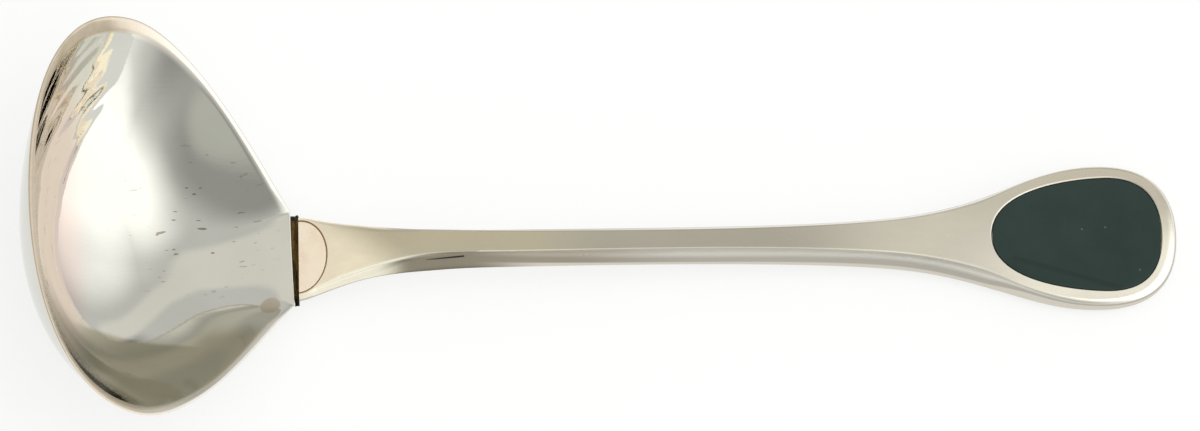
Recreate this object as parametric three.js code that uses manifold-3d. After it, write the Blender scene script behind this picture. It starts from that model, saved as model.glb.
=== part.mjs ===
// A gravy ladle: a drawn bowl with two pouring lips, brazed to a forged handle with an inlaid end.
// Millimetres, +Z up. It lies on a table, z = 0, on the bowl's back and on the flat of its terminal.
// While it is made, x = 0 is the bowl's neck edge and the handle runs along +X; the last lines centre it.

import * as THREE from 'three';
import { mergeVertices } from 'three/addons/utils/BufferGeometryUtils.js';
import Module from 'manifold-3d';

const wasm = await Module();
wasm.setup();

// Bowl: lengths in the plane of the rim, measured from the neck edge towards the front
const rimLength = 48.5;
const rimHalfWidth = 33.2;
const neckHalfWidth = 7.8;
const lipFromNeck = 29;
const flankAngle = THREE.MathUtils.degToRad(48.9);
const flankPull = 3;
const lipPullToNeck = 12.2;
const lipPullToFront = 12.9;
const frontPull = 18.3;
const rimTilt = THREE.MathUtils.degToRad(38.1);

// Bowl: depth below the rim, and how full the wall is towards the front, the lips and the neck
const bowlDepth = 18.8;
const deepestFromNeck = 25.5;
const bellyHalfWidth = 28.5;
const bellyFade = 1.8;
const frontFullness = 3.1;
const lipFullness = 3.2;
const neckFullness = 2.6;
const sheet = 1.1;
const restFlatDepth = 0.1;

// Handle: plan, measured from its end face at the neck to its tip
const handleLength = 134.8;
const endHalfWidth = 6.9;
const stemHalfWidth = 3.05;
const flareLength = 30;
const flareAngle = THREE.MathUtils.degToRad(4);
const flarePull = 3.4;
const flarePullBack = 21.6;
const stemPull = 25;
const stemPullBack = 13.6;
const terminalLength = 45;
const terminalStartHalfWidth = 4.1;
const terminalStartAngle = THREE.MathUtils.degToRad(5.1);
const terminalHalfWidth = 11.9;
const terminalPull = 16.3;
const terminalPullBack = 11.2;
const widestFromTip = 11.8;
const tipPull = 6.4;
const tipPullBack = 9.3;

// Handle: side view, heights above the table and thicknesses
const endStep = 0.3;
const riseLength = 9.5;
const riseHeight = 2;
const crestFromEnd = 21;
const crestHeight = 8.75;
const stemFromEnd = 32;
const stemHeight = 8.1;
const rootFromTip = 34;
const rootHeight = 4.5;
const terminalThickness = 3.2;
const tipThickness = 2.25;
const neckThickness = 3.3;
const crestThickness = 4.16;
const rootThickness = 3.7;
const heelFromTip = 20.5;

// Handle: softened edges at the neck, along the stem and round the terminal. The neck is drawn in underneath.
const neckEdge = 0.6;
const neckUndercut = 2.3;
const neckLength = 8.2;
const stemEdge = 1.6;
const terminalEdge = 1.5;

// Handle: how far up its side it is widest, and how flat that side is, from 1 for round to 2 for straight
const neckWaist = 0.68;
const roundWaist = 0.5;
const stemWaist = 0.2;
const neckFlatness = 1.2;
const stemFlatness = 1.6;
const terminalFlatness = 1.1;

// Neck joint: the tongue under the bowl, the braze slot and the half-moon lug
const slotWidth = 1.2;
const slotDepth = 1.6;
const tongueLength = 7;
const tongueLift = 0.9;
const brazeFilm = 0.25;
const brazeSink = 0.5;
const lugHalfWidth = 5.85;
const lugNose = 4.2;
const lugDepth = 1.2;
const seam = 0.06;

// Inlay: an egg with its narrow end towards the bowl
const inlayLength = 25.9;
const inlayHalfWidth = 9.4;
const inlayFromTip = 2.3;
const inlayWidestFromEnd = 8.3;
const inlayNosePull = 8.9;
const inlayNosePullBack = 1.6;
const inlayEndPull = 5.6;
const inlayEndPullBack = 6.1;
const inlayThickness = 1.05;
const inlayRecess = 0.12;
const inlayDome = 0.2;
const inlayClearance = 0.1;
const bedThickness = 0.2;

// Fineness of the facets
const flankSteps = 14;
const neckSteps = 3;
const tongueSteps = 8;
const flareSteps = 10;
const stemSteps = 10;
const terminalSteps = 16;
const tipSteps = 12;
const edgeSteps = 4;
const eggSteps = 14;
const noseSegments = 20;

// How far a cutting shape reaches past what it cuts
const reach = 2.5 * crestHeight;

// A smooth line z(x) through a few stations, that never overshoots them
function lineThrough(stations) {
  const xs = stations.map((s) => s[0]);
  const zs = stations.map((s) => s[1]);
  const last = xs.length - 1;
  const secant = (i) => (zs[i + 1] - zs[i]) / (xs[i + 1] - xs[i]);
  const slopes = xs.map((x, i) => {
    if (i === 0) return secant(0);
    if (i === last) return secant(last - 1);
    const before = secant(i - 1);
    const after = secant(i);
    return before * after <= 0 ? 0 : (2 * before * after) / (before + after);
  });
  return (x) => {
    if (x <= xs[0]) return zs[0] + slopes[0] * (x - xs[0]);
    if (x >= xs[last]) return zs[last] + slopes[last] * (x - xs[last]);
    const i = xs.findIndex((start, k) => x >= start && x < xs[k + 1]);
    const span = xs[i + 1] - xs[i];
    const t = (x - xs[i]) / span;
    const value = zs[i] * (1 + 2 * t) * (1 - t) ** 2 + zs[i + 1] * t ** 2 * (3 - 2 * t);
    return value + span * (slopes[i] * t * (1 - t) ** 2 - slopes[i + 1] * t ** 2 * (1 - t));
  };
}

// Points along a plane cubic curve given by its four control points
function cubic(steps, ...control) {
  return new THREE.CubicBezierCurve(...control.map(([x, y]) => new THREE.Vector2(x, y))).getPoints(steps);
}

// Joins the two halves of an outline that is symmetric about y = 0 and starts and ends there
function bothSides(half) {
  const mirrored = half.slice(1, -1).reverse();
  return [...half, ...mirrored.map((point) => ({ ...point, y: -point.y }))];
}

// A closed skin over rings of points: its first and last rings shrink to a point or fold on a line
function skin(rings) {
  const count = rings[0].length;
  const positions = rings.flat().flatMap((p) => [p.x, p.y, p.z]);
  const index = [];
  for (let k = 0; k + 1 < rings.length; k++) {
    for (let j = 0; j < count; j++) {
      const next = (j + 1) % count;
      const [a, b] = [k * count + j, k * count + next];
      const [c, d] = [a + count, b + count];
      index.push(a, b, d, a, d, c);
    }
  }
  const geometry = new THREE.BufferGeometry();
  geometry.setAttribute('position', new THREE.Float32BufferAttribute(positions, 3));
  geometry.setIndex(index);
  return facingOut(geometry);
}

// Merges shared points, drops empty triangles and turns the faces outwards
function facingOut(geometry) {
  geometry.deleteAttribute('normal');
  geometry.deleteAttribute('uv');
  const merged = mergeVertices(geometry, 1e-4);
  const position = merged.getAttribute('position');
  const corner = (i) => new THREE.Vector3().fromBufferAttribute(position, i);
  const triangles = [];
  let volume = 0;
  const index = merged.getIndex().array;
  for (let i = 0; i < index.length; i += 3) {
    const [a, b, c] = [index[i], index[i + 1], index[i + 2]];
    if (a === b || b === c || c === a) continue;
    volume += corner(a).dot(corner(b).cross(corner(c)));
    triangles.push([a, b, c]);
  }
  merged.setIndex(triangles.flatMap(([a, b, c]) => (volume < 0 ? [a, c, b] : [a, b, c])));
  return merged;
}

// A closed geometry as a solid that can be joined and cut, and back again
function solid(geometry) {
  const closed = facingOut(geometry);
  return new wasm.Manifold(new wasm.Mesh({
    numProp: 3,
    vertProperties: new Float32Array(closed.getAttribute('position').array),
    triVerts: new Uint32Array(closed.getIndex().array),
  }));
}

function geometryOf(body) {
  const mesh = body.getMesh();
  const geometry = new THREE.BufferGeometry();
  geometry.setAttribute('position', new THREE.Float32BufferAttribute(mesh.vertProperties, 3));
  geometry.setIndex([...mesh.triVerts]);
  return geometry;
}

function boxBetween(low, high) {
  const size = high.map((value, i) => value - low[i]);
  const box = new THREE.BoxGeometry(...size);
  return solid(box.translate(...low.map((value, i) => value + size[i] / 2)));
}

// The rim in its own plane: x from the neck edge to the front, y to the side
const neckEdgePoints = [];
for (let i = 0; i < neckSteps; i++) {
  neckEdgePoints.push(new THREE.Vector2(0, (neckHalfWidth * i) / neckSteps));
}
const flank = cubic(
  flankSteps,
  [0, neckHalfWidth],
  [flankPull * Math.cos(flankAngle), neckHalfWidth + flankPull * Math.sin(flankAngle)],
  [lipFromNeck - lipPullToNeck, rimHalfWidth],
  [lipFromNeck, rimHalfWidth],
);
const front = cubic(
  flankSteps,
  [lipFromNeck, rimHalfWidth],
  [lipFromNeck + lipPullToFront, rimHalfWidth],
  [rimLength, frontPull],
  [rimLength, 0],
);
const rim = bothSides([...neckEdgePoints, ...flank, ...front.slice(1)]);

// A point of the bowl's outer face, at a share of the way from its deepest point to the rim.
// Deep down the bowl is an oval belly, and towards the edge it takes on the outline of the rim.
// A grown face lies that far outside the outer face, and a face grown by a negative length inside it.
function bowlPoint(rimPoint, share, grown, lift) {
  const along = rimPoint.x - deepestFromNeck;
  const rimRadius = Math.hypot(along, rimPoint.y);
  const heading = along / rimRadius;
  const sideways = rimPoint.y / rimRadius;
  const towardsFront = heading > 0;
  const endRadius = towardsFront ? rimLength - deepestFromNeck : deepestFromNeck;
  const endFullness = towardsFront ? frontFullness : neckFullness;
  const fullness = lipFullness + (endFullness - lipFullness) * heading ** 2;
  const bellyRadius = 1 / Math.hypot(heading / endRadius, sideways / bellyHalfWidth);
  const out = share * (THREE.MathUtils.lerp(bellyRadius, rimRadius, share ** bellyFade) + grown);
  const u = deepestFromNeck + heading * out;
  const depth = (bowlDepth + grown) * (1 - share ** fullness);
  return new THREE.Vector3(
    -u * Math.cos(rimTilt) - depth * Math.sin(rimTilt),
    sideways * out,
    lift + u * Math.sin(rimTilt) - depth * Math.cos(rimTilt),
  );
}

const wallShares = [0, 0.13, 0.26, 0.38, 0.5, 0.6, 0.7, 0.78, 0.85, 0.91, 0.96, 1];
const bowlFace = (grown, lift) =>
  wallShares.map((share) => rim.map((point) => bowlPoint(point, share, grown, lift)));

// The neck's height over the table follows from the bowl, which rests on a small flat
const lowest = Math.min(...bowlFace(0, 0).flat().map((point) => point.z));
const neckHeight = -lowest - restFlatDepth;

// The room that the bowl takes, grown by a clearance, open upwards
function bowlRoom(grown) {
  const face = bowlFace(grown, neckHeight);
  const raised = face[face.length - 1].map((p) => new THREE.Vector3(p.x, p.y, p.z + reach));
  const middle = raised.reduce((sum, p) => sum.add(p), new THREE.Vector3()).divideScalar(raised.length);
  return solid(skin([...face, raised, raised.map(() => middle)]));
}

function makeBowl() {
  const outer = bowlFace(0, neckHeight);
  const inner = bowlFace(-sheet, neckHeight).reverse();
  const far = 2 * rimLength;
  const underTable = boxBetween([-far, -far, -reach], [far, far, 0]);
  return solid(skin([...outer, ...inner])).subtract(underTable);
}

// The handle's top and bottom lines, and the form of its side from the top edge to the bottom edge
const endFace = slotWidth;
const tip = endFace + handleLength;
const neckTop = neckHeight + endStep;
const crest = endFace + crestFromEnd;
const root = tip - rootFromTip;
const widest = tip - widestFromTip;

const topLine = lineThrough([
  [endFace, neckTop],
  [endFace + riseLength, neckTop + riseHeight],
  [crest, crestHeight],
  [endFace + stemFromEnd, stemHeight],
  [root, rootHeight],
  [widest, terminalThickness],
  [tip, tipThickness],
]);
const bottomLine = lineThrough([
  [-tongueLength, tongueLift],
  [endFace, neckTop - neckThickness],
  [crest, crestHeight - crestThickness],
  [root, rootHeight - rootThickness],
  [tip - heelFromTip, 0],
  [tip, 0],
]);
const edgeRadius = lineThrough([
  [endFace, neckEdge],
  [crest, stemEdge],
  [root, stemEdge],
  [widest, terminalEdge],
]);
const underRadius = lineThrough([
  [-tongueLength, neckUndercut],
  [endFace + neckLength, neckUndercut],
  [crest, stemEdge],
  [root, stemEdge],
  [widest, terminalEdge],
]);
const waistShare = lineThrough([
  [-tongueLength, neckWaist],
  [endFace + neckLength, neckWaist],
  [crest, stemWaist],
  [root, stemWaist],
  [widest, roundWaist],
  [tip, roundWaist],
]);
const sideFlatness = lineThrough([
  [-tongueLength, neckFlatness],
  [endFace, neckFlatness],
  [crest, stemFlatness],
  [root, stemFlatness],
  [widest, terminalFlatness],
  [tip, terminalFlatness],
]);

// Ribs cross the handle from its outline to a spine, and fan out at the round ends
function handleOutline() {
  const tongueReach = endFace + tongueLength;
  const fanShare = 0.3;
  const ribs = [];
  for (let i = 0; i < tongueSteps; i++) {
    const angle = (Math.PI / 2) * (i / tongueSteps);
    const back = tongueReach * Math.cos(angle);
    ribs.push({ x: endFace - back, y: endHalfWidth * Math.sin(angle), spine: endFace - fanShare * back });
  }
  const flareEnd = endFace + flareLength;
  const flare = cubic(
    flareSteps,
    [endFace, endHalfWidth],
    [endFace + flarePull * Math.cos(flareAngle), endHalfWidth - flarePull * Math.sin(flareAngle)],
    [flareEnd - flarePullBack, stemHalfWidth],
    [flareEnd, stemHalfWidth],
  );
  const terminalStart = tip - terminalLength;
  const growth = Math.tan(terminalStartAngle);
  const stem = cubic(
    stemSteps,
    [flareEnd, stemHalfWidth],
    [flareEnd + stemPull, stemHalfWidth],
    [terminalStart - stemPullBack, terminalStartHalfWidth - stemPullBack * growth],
    [terminalStart, terminalStartHalfWidth],
  );
  const terminal = cubic(
    terminalSteps,
    [terminalStart, terminalStartHalfWidth],
    [terminalStart + terminalPull, terminalStartHalfWidth + terminalPull * growth],
    [widest - terminalPullBack, terminalHalfWidth],
    [widest, terminalHalfWidth],
  );
  for (const point of [...flare, ...stem.slice(1), ...terminal.slice(1)]) {
    ribs.push({ x: point.x, y: point.y, spine: point.x });
  }
  const round = cubic(
    tipSteps,
    [widest, terminalHalfWidth],
    [widest + tipPull, terminalHalfWidth],
    [tip, tipPullBack],
    [tip, 0],
  );
  for (const point of round.slice(1)) {
    ribs.push({ x: point.x, y: point.y, spine: widest + fanShare * (point.x - widest) });
  }
  return bothSides(ribs);
}

// The whole handle before its cuts, from the tongue's end to the tip
function handleBlank() {
  const outline = handleOutline();
  const onRib = (rib, inwards, turn) => {
    const length = Math.hypot(rib.spine - rib.x, rib.y);
    const share = Math.min(inwards / length, 1);
    const x = THREE.MathUtils.lerp(rib.x, rib.spine, share);
    const [top, bottom] = [topLine(x), bottomLine(x)];
    const waist = THREE.MathUtils.lerp(bottom, top, waistShare(x));
    const rise = Math.abs(Math.sin(turn)) ** sideFlatness(rib.x);
    return new THREE.Vector3(x, rib.y * (1 - share), THREE.MathUtils.lerp(waist, turn > 0 ? top : bottom, rise));
  };
  const rings = [outline.map((rib) => onRib(rib, Infinity, Math.PI / 2))];
  for (let i = edgeSteps; i >= -edgeSteps; i--) {
    const turn = (Math.PI / 2) * (i / edgeSteps);
    const radius = turn > 0 ? edgeRadius : underRadius;
    const inwards = (rib) => radius(rib.x) * (1 - Math.cos(turn) ** sideFlatness(rib.x));
    rings.push(outline.map((rib) => onRib(rib, inwards(rib), turn)));
  }
  rings.push(outline.map((rib) => onRib(rib, Infinity, -Math.PI / 2)));
  return solid(skin(rings));
}

// The slot between the bowl's neck edge and the handle's end face, kept clear by a margin
function slotRoom(margin) {
  const floor = neckTop - slotDepth + margin;
  return boxBetween([-tongueLength, -reach, floor], [endFace - margin, reach, neckTop + reach]);
}

// A half-moon standing on its floor, grown by a clearance
function halfMoon(grown) {
  const shape = new THREE.Shape();
  shape.moveTo(-reach, -lugHalfWidth - grown);
  shape.lineTo(0, -lugHalfWidth - grown);
  shape.absellipse(0, 0, lugNose + grown, lugHalfWidth + grown, -Math.PI / 2, Math.PI / 2, false, 0);
  shape.lineTo(-reach, lugHalfWidth + grown);
  const prism = new THREE.ExtrudeGeometry(shape, {
    depth: reach,
    bevelEnabled: false,
    curveSegments: noseSegments,
  });
  return solid(prism.translate(endFace, 0, neckTop - lugDepth - grown));
}

// The egg outline of the inlay, and a slab of that shape between two heights under the handle's top
const inlayEnd = tip - inlayFromTip;
const inlayNose = inlayEnd - inlayLength;
const inlayWidest = inlayEnd - inlayWidestFromEnd;

function eggOutline(grown) {
  const half = [
    ...cubic(
      eggSteps,
      [inlayNose, 0],
      [inlayNose, inlayNosePull],
      [inlayWidest - inlayNosePullBack, inlayHalfWidth],
      [inlayWidest, inlayHalfWidth],
    ),
    ...cubic(
      eggSteps,
      [inlayWidest, inlayHalfWidth],
      [inlayWidest + inlayEndPull, inlayHalfWidth],
      [inlayEnd, inlayEndPullBack],
      [inlayEnd, 0],
    ).slice(1),
  ];
  const toEdge = (point) => new THREE.Vector2(point.x - inlayWidest, point.y);
  return bothSides(half.map((point) => {
    const moved = toEdge(point).setLength(toEdge(point).length() + grown);
    return { x: inlayWidest + moved.x, y: moved.y };
  }));
}

function eggSlab(grown, lowUnderTop, highUnderTop, dome) {
  const outline = eggOutline(grown);
  const ring = (share, underTop, crown) => outline.map((point) => {
    const x = THREE.MathUtils.lerp(inlayWidest, point.x, share);
    return new THREE.Vector3(x, point.y * share, topLine(x) - underTop + crown * (1 - share ** 2));
  });
  const shares = [0, 0.35, 0.65, 0.9, 1];
  const top = shares.map((share) => ring(share, highUnderTop, dome));
  const bottom = shares.map((share) => ring(share, lowUnderTop, 0)).reverse();
  return skin([...top, ...bottom]);
}

// Depths of the inlay's stack below the handle's top
const inlayBack = inlayRecess + inlayThickness;
const bedTop = inlayBack + seam;
const bedBack = bedTop + bedThickness;
const pocketFloor = bedBack + seam;

// Cuts: the handle keeps clear of the bowl, the braze, the lug and the inlay
const blank = handleBlank();
const brazeGrown = seam + brazeFilm;
const tongued = blank.subtract(bowlRoom(brazeGrown + seam)).subtract(slotRoom(0));
const handle = tongued
  .subtract(halfMoon(brazeGrown + seam))
  .subtract(solid(eggSlab(inlayClearance, pocketFloor, -reach, 0)));
const lug = tongued.intersect(halfMoon(0));
const lugBraze = tongued.intersect(halfMoon(brazeGrown).subtract(halfMoon(seam)));

const overBraze = boxBetween([-reach, -reach, neckTop - brazeSink], [reach, reach, neckTop + reach]);
const neckBraze = blank
  .intersect(bowlRoom(brazeGrown).add(slotRoom(seam)))
  .subtract(bowlRoom(seam))
  .subtract(overBraze);

// Finishes
function metal(color, roughness) {
  return new THREE.MeshStandardMaterial({ color, roughness, metalness: 1 });
}

const polishedSteel = metal(0xd9d9d6, 0.08);
const satinSteel = metal(0xc9c2b2, 0.35);
const polishedLug = metal(0xe4d5c0, 0.22);
const slotBraze = metal(0x4f3d1c, 0.6);
const seamBraze = metal(0x7a5638, 0.5);
const greenEnamel = new THREE.MeshStandardMaterial({ color: 0x30403a, roughness: 0.12, metalness: 0 });
const adhesive = new THREE.MeshStandardMaterial({ color: 0x8d8872, roughness: 0.8, metalness: 0 });

const group = new THREE.Group();

function addPiece(name, geometry, material) {
  geometry.computeVertexNormals();
  const mesh = new THREE.Mesh(geometry, material);
  mesh.name = name;
  group.add(mesh);
}

addPiece('bowl', geometryOf(makeBowl()), polishedSteel);
addPiece('handle', geometryOf(handle), satinSteel);
addPiece('bowl_lug', geometryOf(lug), polishedLug);
addPiece('neck_braze', geometryOf(neckBraze), slotBraze);
addPiece('lug_braze', geometryOf(lugBraze), seamBraze);
addPiece('inlay', eggSlab(0, inlayBack, inlayRecess, inlayDome), greenEnamel);
addPiece('inlay_bed', eggSlab(0, bedBack, bedTop, 0), adhesive);

// The origin is under the middle of the ladle, on the table
const box = new THREE.Box3().setFromObject(group);
group.position.x = -(box.min.x + box.max.x) / 2;

export default group;
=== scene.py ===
"""The looks of a gravy ladle: fine meshes, metal and enamel finishes and a plain studio, in its frame."""

import itertools
import math

import bmesh
import bpy
import numpy as np
from mathutils import Color, Matrix, Vector, noise
from mathutils.bvhtree import BVHTree


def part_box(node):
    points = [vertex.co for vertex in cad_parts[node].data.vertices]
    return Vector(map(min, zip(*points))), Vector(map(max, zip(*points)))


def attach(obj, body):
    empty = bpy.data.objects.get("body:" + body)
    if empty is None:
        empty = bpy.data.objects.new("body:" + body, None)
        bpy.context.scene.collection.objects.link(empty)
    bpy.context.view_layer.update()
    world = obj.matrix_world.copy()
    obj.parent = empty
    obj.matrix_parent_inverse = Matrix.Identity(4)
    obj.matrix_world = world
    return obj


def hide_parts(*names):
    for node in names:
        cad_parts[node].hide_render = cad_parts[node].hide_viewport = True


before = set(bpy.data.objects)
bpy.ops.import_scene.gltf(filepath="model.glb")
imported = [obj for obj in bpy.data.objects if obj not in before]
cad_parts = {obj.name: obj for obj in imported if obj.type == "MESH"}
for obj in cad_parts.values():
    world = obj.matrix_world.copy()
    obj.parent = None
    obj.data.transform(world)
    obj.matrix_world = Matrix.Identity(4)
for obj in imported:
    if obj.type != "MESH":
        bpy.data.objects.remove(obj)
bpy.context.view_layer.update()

# Lengths are in millimetres. Shapes are drawn as the solids are: x = 0 is the bowl's neck edge, and the
# handle runs along +X. The frame says where that edge lies.
MM = 0.001
NECK_EDGE_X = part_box("bowl")[1].x / MM
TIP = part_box("handle")[1].x / MM - NECK_EDGE_X

# Bowl, in the plane of its rim and below it
RIM_LENGTH = 48.5
RIM_HALF_WIDTH = 33.2
NECK_HALF_WIDTH = 7.8
LIP_FROM_NECK = 29
FLANK_ANGLE = math.radians(48.9)
FLANK_PULL = 3
LIP_PULL_TO_NECK = 12.2
LIP_PULL_TO_FRONT = 12.9
FRONT_PULL = 18.3
RIM_TILT = math.radians(38.1)
NECK_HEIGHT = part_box("bowl")[1].z / MM - RIM_LENGTH * math.sin(RIM_TILT)
BOWL_DEPTH = 18.8
DEEPEST_FROM_NECK = 25.5
BELLY_HALF_WIDTH = 28.5
BELLY_FADE = 1.8
CORNER_FADE = 24
CORNER_SPREAD = 16
FRONT_FULLNESS = 3.1
LIP_FULLNESS = 3.2
NECK_FULLNESS = 2.6
SHEET = 1.1
RIM_FILLET = 0.28
LIP_BEVEL_WIDTH = 0.35
LIP_BEVEL_DEPTH = 0.9
LIP_BEVEL_TURN = math.radians(62)
LIP_BEVEL_SPREAD = math.radians(30)
BEVEL_BROW = 0.5
BEVEL_LEVEL = 0.8
NECK_GROUND = 3
NECK_FILLET_SHARE = 0.2
NECK_THINNING = 0.75
NECK_THIN_FADE = 20
FLANK_THINNING = 0.42
FLANK_START = 0.05
FLANK_END = -0.45
NECK_SKEW = 0.75
NECK_SKEW_FADE = 2.5
NECK_SKEW_POWER = 1.6

# Handle: plan, side view and edges
SLOT_WIDTH = 1.2
END_FACE = SLOT_WIDTH
END_HALF_WIDTH = 6.9
STEM_HALF_WIDTH = 3.05
FLARE_LENGTH = 30
FLARE_ANGLE = math.radians(4)
FLARE_PULL = 3.4
FLARE_PULL_BACK = 21.6
STEM_PULL = 25
STEM_PULL_BACK = 13.6
TERMINAL_LENGTH = 45
TERMINAL_START_HALF_WIDTH = 4.1
TERMINAL_START_ANGLE = math.radians(5.1)
TERMINAL_HALF_WIDTH = 11.9
TERMINAL_PULL = 16.3
TERMINAL_PULL_BACK = 11.2
WIDEST = TIP - 11.8
TIP_PULL = 6.4
TIP_PULL_BACK = 9.3
FAN_SHARE = 0.3
END_STEP = 0.3
RISE_LENGTH = 9.5
RISE_HEIGHT = 2
CREST = END_FACE + 21
CREST_HEIGHT = 8.75
STEM_START = END_FACE + 32
STEM_HEIGHT = 8.1
ROOT = TIP - 34
ROOT_HEIGHT = 4.5
TERMINAL_THICKNESS = 3.2
TIP_THICKNESS = 2.25
NECK_THICKNESS = 3.3
CREST_THICKNESS = 4.16
ROOT_THICKNESS = 3.7
HEEL = TIP - 20.5
NECK_EDGE_ROUND = 0.7
STEM_EDGE_ROUND = 1.6
TERMINAL_EDGE_ROUND = 1.5
NECK_WAIST = 0.68
NECK_LENGTH = 8.2
NECK_UNDERCUT = 2.3
ROUND_WAIST = 0.5
STEM_WAIST = 0.2
NECK_FLATNESS = 1.2
STEM_FLATNESS = 1.6
TERMINAL_FLATNESS = 1.1
STEM_CROWN = 0.06

# The most that the rounded edge takes of a rib, and that the undercut takes of the half width
EDGE_ROUND_LIMIT = 0.7
UNDERCUT_LIMIT = 0.5

# Neck joint
SLOT_DEPTH = 1.6
TONGUE_LENGTH = 7
TONGUE_LIFT = 0.9
LUG_HALF_WIDTH = 5.85
LUG_NOSE = 4.2
LUG_MIDDLE = END_FACE + 0.42 * LUG_NOSE
LUG_DEPTH = 1.2
LUG_DOME = 0.02
LUG_GROWN = 0.08
LUG_POCKET = 0.3
SEAM_EDGE_ROUND = 0.05
BRAZE_GAP = 0.37
UNDER_EDGE = 0.2
SEAM = 0.02
BEAD_TOP = 0.03
BEAD_EDGE = 0.07
NECK_FAN_END = END_FACE + 1.7 * LUG_NOSE

# Rough braze in the slot: its ends, its hollow between the metal edges, and its roughness
BRAZE_HALF_LENGTH = NECK_HALF_WIDTH - 0.25
BRAZE_END_SHARE = 0.16
BRAZE_END_NARROWING = 0.25
BRAZE_END_FALL = 0.7
BRAZE_RECESS = 0.25
BRAZE_HOLLOW = 0.35
BRAZE_RAGGED = 0.12
BRAZE_ROUGH = 0.1
BRAZE_END_ROUGH = 0.15
BRAZE_GRAIN = 0.05
ROUGH_WAVES = Vector((7, 9, 0.4))
ROUGH_FRACTAL = (0.8, 2.1, 5)
GRAIN_WAVES = Vector((11, 60, 2.7))

# Inlay
INLAY_LENGTH = 25.9
INLAY_HALF_WIDTH = 9.4
INLAY_END = TIP - 2.3
INLAY_NOSE = INLAY_END - INLAY_LENGTH
INLAY_WIDEST = INLAY_END - 8.3
INLAY_NOSE_PULL = 8.9
INLAY_NOSE_PULL_BACK = 1.6
INLAY_END_PULL = 5.6
INLAY_END_PULL_BACK = 6.1
INLAY_THICKNESS = 1.05
INLAY_RECESS = 0.12
INLAY_DOME = 0.2
INLAY_GAP = 0.1
INLAY_EDGE_ROUND = 0.1
POCKET_EDGE_ROUND = 0.26
POCKET_DEPTH = 1.49
EGG_FAN_START = INLAY_NOSE - 2

# Painted highlight on the handle's edges, from 0 to 1, and how closely it keeps to them
NO_WEAR_AND_HIGHLIGHT = itertools.repeat(0)
POCKET_HIGHLIGHT = 0.7
POCKET_WALL_HIGHLIGHT = 0.5
HIGHLIGHT_POWER = 6

# Fineness of the meshes
STEM_CURVE_STEPS = 60
EGG_CURVE_STEPS = 80
RIM_STEPS = 90
NECK_STEPS = 16
WALL_STEPS = 64
FILLET_STEPS = 5
LUG_COLUMNS = 40
STEM_COLUMNS = 110
EGG_COLUMNS = 110
TONGUE_COLUMNS = 30
ROUND_STEPS = 5
TOP_STEPS = 9
EDGE_STEPS = 20
BOTTOM_STEPS = 6
FLOOR_STEPS = 3
SLAB_STEPS = 13
BEAD_STEPS = 4
BRAZE_COLUMNS = 180
BRAZE_ROWS = 12
SHARP_ANGLE = math.radians(40)
MERGE_DISTANCE = 1e-7
SMALLEST_EDGE = 1e-8


# Curves

def even_steps(count):
    """Equal steps from 0 to 1."""
    return np.linspace(0, 1, count + 1)


def bezier(steps, *control):
    """Points along a plane cubic curve given by its four control points."""
    t = even_steps(steps)[:, None]
    a, b, c, d = np.array(control, float)
    return (1 - t) ** 3 * a + 3 * t * (1 - t) ** 2 * b + 3 * t ** 2 * (1 - t) * c + t ** 3 * d


def line_through(*stations):
    """A smooth line z(x) through a few stations, that never overshoots them."""
    xs, zs = np.array(stations, float).T
    secants = np.diff(zs) / np.diff(xs)
    before, after = secants[:-1], secants[1:]
    turns = before * after <= 0
    inner = np.where(turns, 0, 2 * before * after / np.where(turns, 1, before + after))
    slopes = np.concatenate([secants[:1], inner, secants[-1:]])

    def height(x):
        x = np.asarray(x, float)
        i = np.clip(np.searchsorted(xs, x, side="right") - 1, 0, len(xs) - 2)
        span = xs[i + 1] - xs[i]
        t = (x - xs[i]) / span
        s = np.clip(t, 0, 1)
        value = zs[i] * (1 + 2 * s) * (1 - s) ** 2 + zs[i + 1] * s ** 2 * (3 - 2 * s)
        value += span * (slopes[i] * s * (1 - s) ** 2 - slopes[i + 1] * s ** 2 * (1 - s))
        beyond = np.where(t < 0, slopes[i] * t, slopes[i + 1] * np.maximum(t - 1, 0))
        return value + span * beyond

    return height


def lengths_along(points):
    """The length run from the first point to each point of a line."""
    return np.concatenate([[0], np.cumsum(np.linalg.norm(np.diff(points, axis=0), axis=1))])


def points_at(points, runs):
    """The points that lie the given lengths along a line."""
    known = lengths_along(points)
    return np.column_stack([np.interp(runs, known, points[:, k]) for k in range(points.shape[1])])


def resample(points, columns):
    """The line in equal steps."""
    return points_at(points, np.linspace(0, lengths_along(points)[-1], columns + 1))


def unit(vectors):
    """The vectors, each with length 1."""
    return vectors / np.linalg.norm(vectors, axis=1)[:, None]


def mirrored(points):
    """The same points, in the plane or in space, on the other side of y = 0."""
    return points * [1, -1, 1][:points.shape[-1]]


def both_sides(half):
    """A loop from its half on the +Y side, which starts and ends at y = 0."""
    return np.vstack([half, mirrored(half)[-2:0:-1]])


def both_ends(half):
    """An arc from its half on the +Y side, which ends at y = 0."""
    return np.vstack([half, mirrored(half)[-2::-1]])


# Meshes

def add_grid(bm, layer, rings, worn, closed):
    """Adds a grid of faces over rings of points. The edge value, which marks the bowl's ground rim and the
    handle's painted edge highlight, is one value for a ring, or one for each point.
    """
    rows = []
    for ring, wear_and_highlight in zip(rings, worn):
        row = []
        for point, value in zip(ring, np.broadcast_to(wear_and_highlight, len(ring))):
            vertex = bm.verts.new(Vector((point[0] + NECK_EDGE_X, point[1], point[2])) * MM)
            vertex[layer] = value
            row.append(vertex)
        rows.append(row)
    count = len(rows[0])
    for upper, lower in zip(rows, rows[1:]):
        for j in range(count if closed else count - 1):
            n = (j + 1) % count
            bm.faces.new((upper[j], upper[n], lower[n], lower[j]))


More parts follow.
